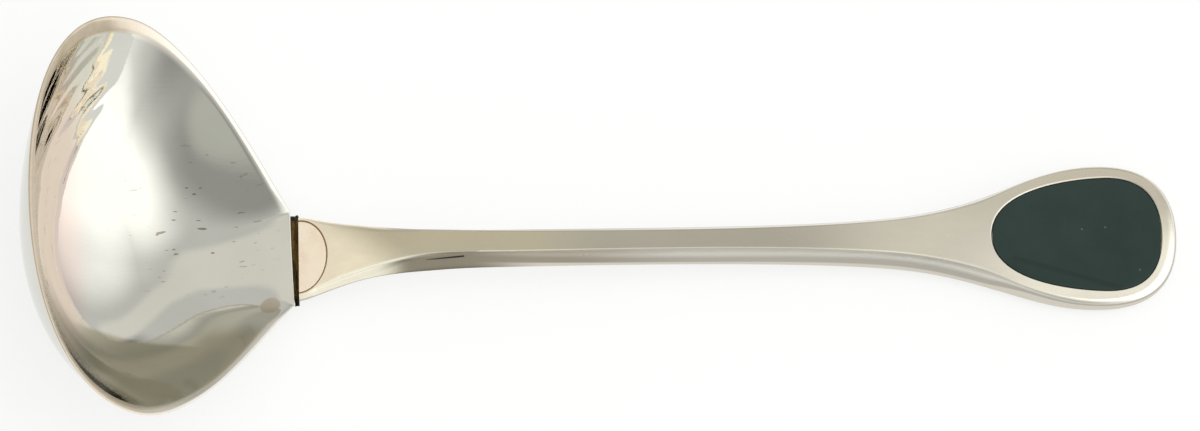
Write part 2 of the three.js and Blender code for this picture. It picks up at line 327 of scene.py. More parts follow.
def make_piece(name, grids, material, node):
    """A smooth mesh object made of grids (rings, edge values, closed), which replaces a node of the frame.
    """
    bm = bmesh.new()
    layer = bm.verts.layers.float.new("worn")
    for rings, worn, closed in grids:
        add_grid(bm, layer, rings, worn, closed)
    bmesh.ops.remove_doubles(bm, verts=bm.verts, dist=MERGE_DISTANCE)
    bmesh.ops.dissolve_degenerate(bm, edges=bm.edges, dist=SMALLEST_EDGE)
    bmesh.ops.recalc_face_normals(bm, faces=bm.faces)
    mesh = bpy.data.meshes.new(name)
    bm.to_mesh(mesh)
    bm.free()
    mesh.shade_smooth()
    mesh.set_sharp_from_angle(angle=SHARP_ANGLE)
    mesh.materials.append(material)
    piece = bpy.data.objects.new(name, mesh)
    bpy.context.scene.collection.objects.link(piece)
    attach(piece, "root")
    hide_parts(node)


# Bowl

def rim_outline():
    """The rim in its own plane: x from the neck edge to the front, y to the side."""
    neck = np.linspace((0, 0), (0, NECK_HALF_WIDTH), NECK_STEPS, endpoint=False)
    flank = bezier(
        RIM_STEPS,
        (0, NECK_HALF_WIDTH),
        (FLANK_PULL * math.cos(FLANK_ANGLE), NECK_HALF_WIDTH + FLANK_PULL * math.sin(FLANK_ANGLE)),
        (LIP_FROM_NECK - LIP_PULL_TO_NECK, RIM_HALF_WIDTH),
        (LIP_FROM_NECK, RIM_HALF_WIDTH),
    )
    front = bezier(
        RIM_STEPS, (LIP_FROM_NECK, RIM_HALF_WIDTH), (LIP_FROM_NECK + LIP_PULL_TO_FRONT, RIM_HALF_WIDTH),
        (RIM_LENGTH, FRONT_PULL), (RIM_LENGTH, 0),
    )
    outline = both_sides(np.vstack([neck, flank, front[1:]]))
    outline[:, 0] -= neck_skew(outline[:, 1]) * np.exp(-outline[:, 0] / NECK_SKEW_FADE)
    return outline


def smooth_step(value, start, end):
    """Rises smoothly from 0 at the start to 1 at the end."""
    t = np.clip((value - start) / (end - start), 0, 1)
    return t ** 2 * (3 - 2 * t)


def neck_skew(y):
    """How far the neck edge is set askew towards the handle. It narrows the slot towards -Y."""
    across = np.clip(0.5 - y / (2 * NECK_HALF_WIDTH), 0, 1)
    return NECK_SKEW * across ** NECK_SKEW_POWER


class BowlForm:
    """The bowl's faces, in directions that fan out from its deepest point."""

    def __init__(self):
        spokes = rim_outline() - [DEEPEST_FROM_NECK, 0]
        self.rim = np.linalg.norm(spokes, axis=1)
        self.heading, self.sideways = unit(spokes).T
        self.angles = np.arctan2(self.sideways, self.heading)
        to_front = self.heading > 0
        end_radius = np.where(to_front, RIM_LENGTH - DEEPEST_FROM_NECK, DEEPEST_FROM_NECK)
        end_fullness = np.where(to_front, FRONT_FULLNESS, NECK_FULLNESS)
        self.fullness = LIP_FULLNESS + (end_fullness - LIP_FULLNESS) * self.heading ** 2
        self.belly = 1 / np.hypot(self.heading / end_radius, self.sideways / BELLY_HALF_WIDTH)
        self.soft_rim = self.averaged(self.rim)
        self.ground = smooth_step(spokes[:, 0] + DEEPEST_FROM_NECK, 0, NECK_GROUND)
        self.fillet = RIM_FILLET * (NECK_FILLET_SHARE + (1 - NECK_FILLET_SHARE) * self.ground)
        self.flank = smooth_step(self.heading, FLANK_START, FLANK_END)
        self.lip = np.exp(-((np.abs(self.angles) - LIP_BEVEL_TURN) / LIP_BEVEL_SPREAD) ** 2)

    def averaged(self, radius):
        """A radius averaged over the directions near each one, which rounds the corners away."""
        degrees = np.radians(np.arange(-180, 180))
        even = np.interp(degrees, self.angles, radius, period=2 * math.pi)
        steps = np.arange(-CORNER_SPREAD, CORNER_SPREAD + 1)
        weights = np.cos(steps / (CORNER_SPREAD + 1) * math.pi / 2) ** 2
        mean = sum(np.roll(even, step) * weight for step, weight in zip(steps, weights)) / weights.sum()
        return np.interp(self.angles, degrees, mean, period=2 * math.pi)

    def reach(self, share, grown):
        """How far out a face is, at a share of the way from the deepest point to the rim."""
        bulge = (self.soft_rim - self.belly) * share ** BELLY_FADE
        corner = (self.rim - self.soft_rim) * share ** CORNER_FADE
        return share * (self.belly + bulge + corner + grown)

    def place(self, out, depth):
        """Points at a distance from the deepest point and a depth below the rim's plane."""
        u = DEEPEST_FROM_NECK + self.heading * out
        x = -u * math.cos(RIM_TILT) - depth * math.sin(RIM_TILT)
        z = NECK_HEIGHT + u * math.sin(RIM_TILT) - depth * math.cos(RIM_TILT)
        return np.column_stack([x, self.sideways * out, z])

    def wall(self, share, grown):
        """A ring of the outer face, which is grown by 0, or of the inner face."""
        return self.place(self.reach(share, grown), (BOWL_DEPTH + grown) * (1 - share ** self.fullness))

    def inner_growth(self, share):
        """The inner face's growth: minus the sheet, which thins out to the neck and the flanks."""
        thinning = FLANK_THINNING * self.flank
        thinning = thinning + (NECK_THINNING - thinning) * (1 - self.ground)
        return -SHEET * (1 - thinning * share ** NECK_THIN_FADE)

    def edge_share(self, grown, depth):
        """The share at which a face is at a depth below the rim."""
        return (1 - depth / (BOWL_DEPTH + grown)) ** (1 / self.fullness)

    def outer_edge(self):
        """Rings that round the outer face into the flat of the rim."""
        start = np.array([self.reach(self.edge_share(0, self.fillet), 0), self.fillet])
        corner = np.array([self.rim, 0 * self.fillet])
        end = np.array([self.rim - self.fillet, 0 * self.fillet])
        return [self.place(*at) for at in rounded(start, corner, end)]

    def bevel_depth(self):
        """How far the bevel on the inside reaches below the rim."""
        return self.fillet + LIP_BEVEL_DEPTH * self.lip

    def inner_edge(self):
        """Rings from the flat of the rim to the inner face, over a bevel that is widest at the lips."""
        width = self.fillet + LIP_BEVEL_WIDTH * self.lip
        depth = self.bevel_depth()
        share = self.edge_share(-SHEET, depth)
        start = np.array([self.rim + self.inner_growth(1) + width, 0 * depth])
        end = np.array([self.reach(share, self.inner_growth(share)), depth])
        corner = start + (end - start) * BEVEL_BROW
        corner[1] *= BEVEL_LEVEL
        return [self.place(*start)] + [self.place(*at) for at in rounded(start, corner, end)]


def rounded(start, corner, end):
    """Points after the start of a curve that leaves it towards a corner and comes in from there."""
    for t in even_steps(FILLET_STEPS)[1:]:
        yield (1 - t) ** 2 * start + 2 * t * (1 - t) * corner + t ** 2 * end


def bowl_grids(form):
    """The bowl's grid: out along its outer face, over the rim and back along its inner face."""
    shares = even_steps(WALL_STEPS)
    outer = [form.wall(share * form.edge_share(0, form.fillet), 0) for share in shares]
    inner_shares = [share * form.edge_share(-SHEET, form.bevel_depth()) for share in shares]
    inner = [form.wall(share, form.inner_growth(share)) for share in inner_shares]
    edge = form.outer_edge() + form.inner_edge()
    rings = np.array(outer + edge + inner[-2::-1])
    rings[..., 2] = np.maximum(rings[..., 2], 0)
    worn = [0] * len(outer) + [form.ground] * len(edge) + [0] * (len(inner) - 1)
    return [(rings, worn, True)]


# Handle

def handle_outline():
    """The handle's outline on its +Y side, from the end face to the tip."""
    flare_end = END_FACE + FLARE_LENGTH
    flare_x, flare_y = FLARE_PULL * math.cos(FLARE_ANGLE), FLARE_PULL * math.sin(FLARE_ANGLE)
    growth = math.tan(TERMINAL_START_ANGLE)
    terminal_start = TIP - TERMINAL_LENGTH
    flare = bezier(
        STEM_CURVE_STEPS, (END_FACE, END_HALF_WIDTH), (END_FACE + flare_x, END_HALF_WIDTH - flare_y),
        (flare_end - FLARE_PULL_BACK, STEM_HALF_WIDTH), (flare_end, STEM_HALF_WIDTH),
    )
    stem = bezier(
        STEM_CURVE_STEPS,
        (flare_end, STEM_HALF_WIDTH),
        (flare_end + STEM_PULL, STEM_HALF_WIDTH),
        (terminal_start - STEM_PULL_BACK, TERMINAL_START_HALF_WIDTH - STEM_PULL_BACK * growth),
        (terminal_start, TERMINAL_START_HALF_WIDTH),
    )
    terminal = bezier(
        EGG_CURVE_STEPS,
        (terminal_start, TERMINAL_START_HALF_WIDTH),
        (terminal_start + TERMINAL_PULL, TERMINAL_START_HALF_WIDTH + TERMINAL_PULL * growth),
        (WIDEST - TERMINAL_PULL_BACK, TERMINAL_HALF_WIDTH),
        (WIDEST, TERMINAL_HALF_WIDTH),
    )
    end = bezier(
        EGG_CURVE_STEPS, (WIDEST, TERMINAL_HALF_WIDTH), (WIDEST + TIP_PULL, TERMINAL_HALF_WIDTH),
        (TIP, TIP_PULL_BACK), (TIP, 0),
    )
    return np.vstack([flare, stem[1:], terminal[1:], end[1:]])


def egg_half(grown):
    """The inlay's outline on its +Y side, from its nose to its end, grown by a clearance."""
    nose = bezier(
        EGG_CURVE_STEPS, (INLAY_NOSE, 0), (INLAY_NOSE, INLAY_NOSE_PULL),
        (INLAY_WIDEST - INLAY_NOSE_PULL_BACK, INLAY_HALF_WIDTH), (INLAY_WIDEST, INLAY_HALF_WIDTH),
    )
    end = bezier(
        EGG_CURVE_STEPS,
        (INLAY_WIDEST, INLAY_HALF_WIDTH), (INLAY_WIDEST + INLAY_END_PULL, INLAY_HALF_WIDTH),
        (INLAY_END, INLAY_END_PULL_BACK), (INLAY_END, 0),
    )
    half = np.vstack([nose, end[1:]])
    return resample(half + unit(half - [INLAY_WIDEST, 0]) * grown, EGG_COLUMNS)


def moon_half(grown):
    """The lug's outline on its +Y side, from the end face to its nose, grown by a clearance."""
    turn = np.linspace(0, math.pi / 2, LUG_COLUMNS + 1)
    x = END_FACE + (LUG_NOSE + grown) * np.sin(turn)
    return np.column_stack([x, (LUG_HALF_WIDTH + grown) * np.cos(turn)])


def outward(half):
    """Unit normals of an outline on its +Y side, pointing out of it."""
    x, y = np.gradient(half, axis=0).T
    return unit(np.column_stack([-y, x]))


class HandleForm:
    """The handle's surfaces, and ribs that cross it from its outline to a core line along its middle."""

    def __init__(self):
        self.neck_top = NECK_HEIGHT + END_STEP
        self.top_line = line_through(
            (END_FACE, self.neck_top), (END_FACE + RISE_LENGTH, self.neck_top + RISE_HEIGHT),
            (CREST, CREST_HEIGHT), (STEM_START, STEM_HEIGHT), (ROOT, ROOT_HEIGHT),
            (WIDEST, TERMINAL_THICKNESS), (TIP, TIP_THICKNESS),
        )
        self.bottom_line = line_through(
            (-TONGUE_LENGTH, TONGUE_LIFT), (END_FACE, self.neck_top - NECK_THICKNESS),
            (CREST, CREST_HEIGHT - CREST_THICKNESS), (ROOT, ROOT_HEIGHT - ROOT_THICKNESS), (HEEL, 0),
            (TIP, 0),
        )
        self.edge_round = line_through(
            (END_FACE, NECK_EDGE_ROUND), (CREST, STEM_EDGE_ROUND), (ROOT, STEM_EDGE_ROUND),
            (WIDEST, TERMINAL_EDGE_ROUND),
        )
        self.crown_line = line_through(
            (END_FACE, 0), (CREST, STEM_CROWN), (ROOT, STEM_CROWN), (INLAY_NOSE, 0), (TIP, 0),
        )
        self.waist = line_through(
            (-TONGUE_LENGTH, NECK_WAIST), (END_FACE + NECK_LENGTH, NECK_WAIST), (CREST, STEM_WAIST),
            (ROOT, STEM_WAIST), (WIDEST, ROUND_WAIST), (TIP, ROUND_WAIST),
        )
        self.undercut = line_through(
            (-TONGUE_LENGTH, NECK_UNDERCUT), (END_FACE + NECK_LENGTH, NECK_UNDERCUT),
            (CREST, STEM_EDGE_ROUND),
        )
        self.flatness = line_through(
            (-TONGUE_LENGTH, NECK_FLATNESS), (END_FACE, NECK_FLATNESS), (CREST, STEM_FLATNESS),
            (ROOT, STEM_FLATNESS), (WIDEST, TERMINAL_FLATNESS), (TIP, TERMINAL_FLATNESS),
        )
        self.outline = handle_outline()

    def top(self, xy):
        """The height of the handle's top face, which is slightly crowned along the stem."""
        half_width = np.interp(xy[:, 0], self.outline[:, 0], self.outline[:, 1])
        across = np.clip(np.abs(xy[:, 1]) / np.maximum(half_width, STEM_HALF_WIDTH), 0, 1)
        return self.top_line(xy[:, 0]) + self.crown_line(xy[:, 0]) * (1 - across ** 2)

    def at_top(self, xy, down=0):
        """Points on the top face, or a little below it."""
        return np.column_stack([xy, self.top(xy) - down])

    def rib_rings(self, outer, core, normals, rounding):
        """Rings from the core line over the top, round the side and under the bottom, and their painted
        edge highlight.
        """
        shoulder = core + normals * rounding[:, None]
        ribs = shoulder - outer
        length = np.linalg.norm(ribs, axis=1)
        inwards = ribs / length[:, None]
        edge = np.minimum(self.edge_round(outer[:, 0]), EDGE_ROUND_LIMIT * length)
        undercut = np.minimum(self.undercut(outer[:, 0]), UNDERCUT_LIMIT * outer[:, 1])
        undercut = np.where(outer[:, 0] < CREST, undercut, edge)
        brow = outer + inwards * edge[:, None]
        keel = outer + inwards * undercut[:, None]
        rings, worn = zip(
            *self.pocket_edge(core, normals, rounding),
            *self.top_face(shoulder, brow),
            *self.side_face(outer, inwards, edge, undercut),
            *self.bottom_face(outer, keel),
        )
        return np.array(rings), worn

    def pocket_edge(self, core, normals, rounding):
        """Rings over the rounded edge of a pocket, each with its painted edge highlight. On the spine
        there is no edge.
        """
        wear_and_highlight = np.where(rounding > 0, POCKET_HIGHLIGHT, 0)
        for turn in np.linspace(0, math.pi / 2, ROUND_STEPS + 1):
            xy = core + normals * (rounding * (1 - math.cos(turn)))[:, None]
            yield self.at_top(xy, rounding * (1 - math.sin(turn))), wear_and_highlight

    def top_face(self, shoulder, brow):
        """Rings from the shoulder, at a pocket or the spine, to the brow, where the side begins."""
        for share in even_steps(TOP_STEPS)[1:]:
            yield self.at_top(shoulder + (brow - shoulder) * share), share ** HIGHLIGHT_POWER

    def side_face(self, outer, inwards, edge, undercut):
        """Rings from the brow round the waist, where the handle is widest, to the keel."""
        flatness = self.flatness(outer[:, 0])
        for turn in np.linspace(math.pi / 2, -math.pi / 2, EDGE_STEPS + 1)[1:]:
            recess = edge if turn > 0 else undercut
            xy = outer + inwards * (recess * (1 - abs(math.cos(turn)) ** flatness))[:, None]
            top, bottom = self.top(xy), self.bottom_line(xy[:, 0])
            waist = bottom + (top - bottom) * self.waist(xy[:, 0])
            end = top if turn > 0 else bottom
            height = waist + (end - waist) * abs(math.sin(turn)) ** flatness
            yield np.column_stack([xy, height]), max(0, math.sin(turn)) ** HIGHLIGHT_POWER

    def bottom_face(self, outer, keel):
        """Rings from the keel to the spine under the handle."""
        past = np.maximum(outer[:, 0] - WIDEST, 0)
        spine = np.column_stack([outer[:, 0] - (1 - FAN_SHARE) * past, np.zeros(len(outer))])
        for share in even_steps(BOTTOM_STEPS)[1:]:
            xy = keel + (spine - keel) * share
            yield np.column_stack([xy, self.bottom_line(xy[:, 0])]), 0


def pocket_rings(form, edge_ring, depth, middle):
    """Rings from a pocket's edge down its wall, and over its floor to the middle."""
    floor = form.at_top(edge_ring[:, :2], depth)
    centre = np.array([middle, 0, form.top_line(middle) - depth])
    steps = [floor + (centre - floor) * share for share in even_steps(FLOOR_STEPS)]
    return np.array([edge_ring, *steps])


def handle_grids(form, bowl_tree):
    """The handle's grids: its body, its two pockets, and its tongue under the bowl with the end face."""
    moon = moon_half(LUG_POCKET)
    egg = egg_half(INLAY_GAP)
    clear = 2 * POCKET_EDGE_ROUND
    spine = np.linspace((moon[-1, 0] + clear, 0), (egg[0, 0] - clear, 0), STEM_COLUMNS)
    core = np.vstack([moon, spine, egg])
    normals = np.vstack([outward(moon), np.zeros((STEM_COLUMNS, 2)), outward(egg)])
    columns = [len(moon), STEM_COLUMNS, len(egg)]
    rounding = np.repeat([SEAM_EDGE_ROUND, 0, POCKET_EDGE_ROUND], columns)
    runs = lengths_along(form.outline)
    neck_run, egg_run = np.interp([NECK_FAN_END, EGG_FAN_START], form.outline[:, 0], runs)
    stops = np.concatenate([
        np.linspace(0, neck_run, len(moon)),
        np.linspace(neck_run, egg_run, STEM_COLUMNS + 2)[1:-1],
        np.linspace(egg_run, runs[-1], len(egg)),
    ])
    outer = points_at(form.outline, stops)
    rings, worn = form.rib_rings(outer, core, normals, rounding)
    body = np.array([both_ends(ring) for ring in rings])
    worn = np.broadcast_arrays(*worn, outer[:, 0])[:-1]
    worn = [np.concatenate([wear_and_highlight, wear_and_highlight[-2::-1]]) for wear_and_highlight in worn]

    egg_loop = both_sides(rings[0, -len(egg):])
    moon_arc = both_ends(rings[0, :len(moon)])
    pocket_worn = [POCKET_WALL_HIGHLIGHT] + [0] * (FLOOR_STEPS + 1)

    tongue = tongue_rings(form, bowl_tree)
    tongue = np.concatenate([tongue, mirrored(tongue)[:, -1:0:-1]], axis=1)
    end_face = np.stack([tongue[1:, TONGUE_COLUMNS], body[:, 0]], axis=1)
    return [
        (body, worn, False),
        (pocket_rings(form, egg_loop, POCKET_DEPTH, INLAY_WIDEST), pocket_worn, True),
        (pocket_rings(form, moon_arc, SLOT_DEPTH, END_FACE), pocket_worn, False),
        (tongue, NO_WEAR_AND_HIGHLIGHT, True),
        (end_face, NO_WEAR_AND_HIGHLIGHT, False),
        (mirrored(end_face), NO_WEAR_AND_HIGHLIGHT, False),
    ]


def tongue_rings(form, bowl_tree):
    """Half of the tongue: the end face's rib, cut down to the slot's floor and to the bowl's back."""
    turn = np.linspace(0, math.pi / 2, TONGUE_COLUMNS + 1)
    back = (END_FACE + TONGUE_LENGTH) * np.cos(turn)
    outer = np.column_stack([END_FACE - back, END_HALF_WIDTH * np.sin(turn)])
    spine = np.column_stack([END_FACE - FAN_SHARE * back, np.zeros(len(turn))])
    share = (LUG_HALF_WIDTH + LUG_POCKET) / END_HALF_WIDTH
    core = spine + (outer - spine) * share
    rounding = np.full(len(turn), SEAM_EDGE_ROUND)
    blank, _ = form.rib_rings(outer, core, unit(outer - core), rounding)
    tongue = np.array([form.at_top(spine), *blank])
    slot_floor = form.neck_top - SLOT_DEPTH
    for ring in tongue:
        for point in ring:
            point[2] = min(point[2], slot_floor, bowl_back(bowl_tree, point) - BRAZE_GAP)
    return tongue


def bowl_back(tree, point):
    """The height of the bowl's back above a point, or a greater height where there is none."""
    hit = tree.ray_cast(Vector((point[0], point[1], -1)), Vector((0, 0, 1)))[0]
    return hit.z if hit else CREST_HEIGHT


# Neck joint and inlay

def slab_grids(loop, top_of, depth, centre, rounding, dome):
    """A slab with a rounded upper edge: rings from the middle of its top to the middle of its back."""
    rings = []
    middle = np.array(centre)
    spokes = loop - middle
    radius = np.linalg.norm(spokes, axis=1)[:, None]
    inset = 1 - rounding / np.maximum(radius, rounding)
    for share in even_steps(SLAB_STEPS):
        xy = middle + spokes * inset * share
        rings.append(np.column_stack([xy, top_of(xy) + dome * (1 - share ** 2)]))
    for turn in np.linspace(0, math.pi / 2, ROUND_STEPS + 1)[1:]:
        xy = middle + spokes * (inset + (1 - inset) * math.sin(turn))
        rings.append(np.column_stack([xy, top_of(xy) - rounding * (1 - math.cos(turn))]))
    for share in (1, 0.5, 0):
        xy = middle + spokes * share
        rings.append(np.column_stack([xy, top_of(xy) - depth]))
    return [(np.array(rings), NO_WEAR_AND_HIGHLIGHT, True)]


def inlay_grids(form):
    """The domed egg-shaped panel, a little below the edge of its pocket."""
    return slab_grids(
        both_sides(egg_half(0)), lambda xy: form.top_line(xy[:, 0]) - INLAY_RECESS,
        INLAY_THICKNESS, (INLAY_WIDEST, 0), INLAY_EDGE_ROUND, INLAY_DOME,
    )


def lug_grids(form):
    """The half-moon lug, flush with the top of the handle."""
    arc = both_ends(moon_half(LUG_GROWN))
    straight = np.linspace(arc[-1], arc[0], 2 * LUG_COLUMNS + 1)[1:-1]
    loop = np.vstack([arc, straight])
    return slab_grids(loop, form.top, LUG_DEPTH, (LUG_MIDDLE, 0), SEAM_EDGE_ROUND, LUG_DOME)


def lug_braze_grids(form):
    """A low bead of braze round the lug, which fills the gap beside it."""
    inner = both_ends(moon_half(LUG_GROWN + SEAM))
    outer = both_ends(moon_half(LUG_POCKET - SEAM))
    shares = even_steps(BEAD_STEPS)
    crown = zip(shares, BEAD_TOP + (BEAD_EDGE - BEAD_TOP) * (2 * shares - 1) ** 2)
    section = ((0, LUG_DEPTH), *crown, (1, LUG_DEPTH), (0, LUG_DEPTH))
    rings = [form.at_top(inner + (outer - inner) * share, down) for share, down in section]
    return [(np.array(rings), NO_WEAR_AND_HIGHLIGHT, False)]


def film_grids(form, bowl_tree):
    """The film of braze between the tongue and the bowl's back."""
    rings_on_top = ROUND_STEPS + TOP_STEPS + 2
    lower = tongue_rings(form, bowl_tree)[:rings_on_top] + [0, 0, SEAM]
    upper = lower + [0, 0, BRAZE_GAP - 2 * SEAM]
    rings = np.concatenate([upper, lower[::-1]])
    rings = np.concatenate([rings, mirrored(rings)[:, -1:0:-1]], axis=1)
    return [(rings, NO_WEAR_AND_HIGHLIGHT, True)]


def slot_braze_point(form, across, along):
    """A point of the braze, at a share of the way across the slot and along it from its middle."""
    spot = Vector((across, along, 1))
    rough = noise.fractal(spot * ROUGH_WAVES, *ROUGH_FRACTAL)
    grain = noise.noise(spot * GRAIN_WAVES)
    ends = max(0, abs(along) - (1 - BRAZE_END_SHARE)) / BRAZE_END_SHARE
    bulge = math.sin(math.pi * across)
    y = BRAZE_HALF_LENGTH * along
    skew = neck_skew(y)
    start = skew * math.cos(RIM_TILT) - UNDER_EDGE
    side = (2 * across - 1) * (1 - BRAZE_END_NARROWING * ends ** 2) + BRAZE_RAGGED * rough * bulge
    x = (start + SLOT_WIDTH) / 2 + (SLOT_WIDTH - start) / 2 * side
    edges = (NECK_HEIGHT - skew * math.sin(RIM_TILT)) * (1 - across) + form.neck_top * across
    hollow = BRAZE_RECESS + BRAZE_HOLLOW * bulge + BRAZE_END_FALL * ends ** 2
    z = edges - hollow + (BRAZE_ROUGH + BRAZE_END_ROUGH * ends) * rough + BRAZE_GRAIN * grain
    return x, y, z


def slot_braze_grids(form):
    """The rough braze that fills the slot, a little below the metal on both sides of it."""
    columns = np.linspace(-1, 1, BRAZE_COLUMNS + 1)
    rows = even_steps(BRAZE_ROWS)
    top = [[slot_braze_point(form, across, along) for along in columns] for across in rows]
    floor = form.neck_top - SLOT_DEPTH
    back = [[(x, BRAZE_HALF_LENGTH * along, floor) for along in columns] for x in (SLOT_WIDTH, 0)]
    return [(np.array([*top, *back, top[0]]), NO_WEAR_AND_HIGHLIGHT, False)]


# Finishes

NOISE_ROUGHNESS = 0.55
RIM_DOWN = (-math.sin(RIM_TILT), 0, -math.cos(RIM_TILT))
RIM_LEVEL = (NECK_EDGE_X * RIM_DOWN[0] + NECK_HEIGHT * RIM_DOWN[2]) * MM


class Nodes:
    """A short way to add and link the nodes of one material or world."""

    def __init__(self, owner):
        owner.use_nodes = True
        self.owner = owner
        self.tree = owner.node_tree
        self.tree.nodes.clear()

    def add(self, kind, settings=None, **inputs):
        """A node with its settings and inputs. An input is a value, or another node's output socket."""
        node = self.tree.nodes.new("ShaderNode" + kind)
        for key, value in (settings or {}).items():
            setattr(node, key, value)
        for key, value in inputs.items():
            numbered = key[0] == "i" and key[1:].isdigit()
            socket = node.inputs[int(key[1:]) if numbered else key.replace("_", " ")]
            if isinstance(value, bpy.types.NodeSocket):
                self.tree.links.new(value, socket)
            else:
                socket.default_value = value
        return node

    def math(self, operation, a, b=0.0):
        return self.add("Math", {"operation": operation}, i0=a, i1=b).outputs[0]

    def product(self, first, *others):
        for other in others:
            first = self.math("MULTIPLY", first, other)
        return first

    def largest(self, first, *others):
        for other in others:
            first = self.math("MAXIMUM", first, other)
        return first

    def vector(self, operation, a, b):
        """The outputs of an operation on two vectors."""
        return self.add("VectorMath", {"operation": operation}, i0=a, i1=b).outputs

    def dot(self, a, b):
        return self.vector("DOT_PRODUCT", a, b)["Value"]

    def ramp(self, value, low, high, to_low=0.0, to_high=1.0):
        """Maps a value smoothly from one range to another."""
        return self.add(
            "MapRange",
            {"interpolation_type": "SMOOTHSTEP"},
            Value=value, From_Min=low, From_Max=high, To_Min=to_low, To_Max=to_high,
        ).outputs["Result"]

    def mix(self, factor, a, b, blend="MIX"):
        """Mixes two colours."""
        node = self.add("Mix", {"data_type": "RGBA", "blend_type": blend}, i0=factor, i6=a, i7=b)
        return node.outputs[2]

    def along(self, base, *stretches):
        """Changes a colour along the handle. A stretch is a range of x and the colour it leads to."""
        for limits, next_colour in stretches:
            base = self.mix(self.region(x=limits), base, next_colour)
        return base

    def point(self):
        """The point that is shaded, in the frame's metres."""
        return self.add("TexCoord").outputs["Object"]

    def normal(self):
        return self.add("NewGeometry").outputs["Normal"]

    def field(self, name):
        """The point's x or y, its depth below the bowl's rim, how far its face looks up, or its edge
        value, which marks the bowl's ground rim and the handle's painted edge highlight.
        """
        if name == "depth":
            return self.math("SUBTRACT", self.dot(self.point(), RIM_DOWN), RIM_LEVEL)
        if name == "facing":
            return self.add("SeparateXYZ", Vector=self.normal()).outputs["Z"]
        if name == "worn":
            return self.add("Attribute", {"attribute_name": "worn"}).outputs["Fac"]
        return self.add("SeparateXYZ", Vector=self.point()).outputs[name.upper()]

    def region(self, **ranges):
        """1 in a region and 0 outside it. A range says where a field leaves 0 and where it comes to 1."""
        return self.product(*[self.ramp(self.field(name), *limits) for name, limits in ranges.items()])

    def stretched(self, x, y, z):
        """The point with its coordinates multiplied. A pattern is longer where a factor is small."""
        return self.add("Mapping", Vector=self.point(), Scale=(x, y, z)).outputs["Vector"]

    def noise(self, vector, scale, detail=4.0):
        node = self.add("TexNoise", Vector=vector, Scale=scale, Detail=detail, Roughness=NOISE_ROUGHNESS)
        return node.outputs["Fac"]

    def within(self, distance, limit, softness):
        """1 where a distance is below a limit, and 0 above it, with a soft edge."""
        return self.ramp(distance, limit * (1 + softness), limit * (1 - softness))

    def near(self, point, radius, softness):
        """1 within a radius of a point of the ladle, in metres, and 0 outside it."""
        return self.within(self.vector("DISTANCE", self.point(), point)["Value"], radius, softness)

    def beside(self, place, start, end, width, softness):
        """1 along a straight line between two points, and 0 away from it."""
        run = Vector(end) - Vector(start)
        heading = run.normalized()
        past = self.vector("SUBTRACT", place, start)["Vector"]
        along = self.math("MINIMUM", self.largest(self.dot(past, heading), 0.0), run.length)
        foot = self.add("VectorMath", {"operation": "SCALE"}, i0=heading, Scale=along).outputs["Vector"]
        return self.within(self.vector("DISTANCE", past, foot)["Value"], width, softness)

    def surface(self, height=None, strength=0.0, distance=0.0, **inputs):
        """Gives the material a Principled surface, with bumps of a height where there is one."""
        if height is not None:
            bump = self.add("Bump", Height=height, Strength=strength, Distance=distance)
            inputs["Normal"] = bump.outputs["Normal"]
        shader = self.add("BsdfPrincipled", **inputs)
        self.add("OutputMaterial", Surface=shader.outputs["BSDF"])
        return self.owner


def new_material(name):
    return Nodes(bpy.data.materials.new(name))


def colour(*levels):
    """A colour given as it shows on a screen, in levels of red, green and blue from 0 to 255."""
    return (*Color([level / 255 for level in levels]).from_srgb_to_scene_linear(), 1)


# Bowl's finish: places in the frame's metres, or on the bowl as on_bowl takes them, and strengths
HOLLOW = (-0.067, 0, 0.017)
FLANK_SLANT = 0.15
PITS_AT = (0.7, 155)
PITS_RADIUS = 0.010
STAIN_AT = (0.952, -161.6)
STAIN_RADIUS = 0.0016
STAIN_STRENGTH = 0.75
STAIN_ROUGHNESS = 0.25
RIM_ROUGHNESS = 0.28
FILM_METALLIC = 0.66
WAVES_TURN = math.radians(59)
WAVES_STRETCH = (7, 0.9, 1)
SCRATCH_SHARE = 0.007


def on_bowl(form, share, column_angle):
    """A point of the bowl's inner face, in metres: a share of the way out in one direction of the fan."""
    column = np.argmin(np.abs(form.angles - math.radians(column_angle)))
    x, y, z = form.wall(share, -SHEET)[column]
    return Vector((x + NECK_EDGE_X, y, z)) * MM


def inside_bowl(n):
    """1 where a face looks into the bowl's hollow, and 0 on the bowl's back."""
    inwards = n.vector("SUBTRACT", HOLLOW, n.point())["Vector"]
    return n.ramp(n.dot(inwards, n.normal()), -MM, MM)


def bowl_steel(n, cloud, inside):
    """The steel of the bowl, with a painted dark reflection on its -Y flank and a painted warm reflection
    at its front.
    """
    steel = n.mix(n.ramp(cloud, 0.35, 0.7), colour(207, 206, 196), colour(213, 212, 203))
    slanted = n.math("ADD", n.field("y"), n.product(n.field("x"), FLANK_SLANT))
    # Painted dark reflection: a greyer patch on the -Y flank inside the bowl
    flank = n.region(y=(-0.010, -0.014), depth=(0.011, 0.007))
    flank = n.largest(flank, n.ramp(slanted, -0.0232, -0.0244))
    flank = n.product(flank, n.region(x=(-0.0505, -0.0545)), inside)
    steel = n.mix(flank, steel, colour(177, 172, 155))
    # Painted warm reflection on the inside of the front wall
    front = n.product(n.region(x=(-0.078, -0.082)), inside)
    return n.mix(front, steel, colour(213, 198, 187))


def lip_waves(n, inside):
    """The height of slight waves in the finish, along the lip on the +Y side."""
    along_lip = n.add(
        "Mapping",
        {"vector_type": "TEXTURE"},
        Vector=n.point(), Rotation=(0, 0, WAVES_TURN), Scale=WAVES_STRETCH,
    ).outputs["Vector"]
    lip = n.region(y=(0.008, 0.016), x=(-0.071, -0.077))
    return n.product(n.noise(along_lip, scale=230, detail=1), lip, inside)


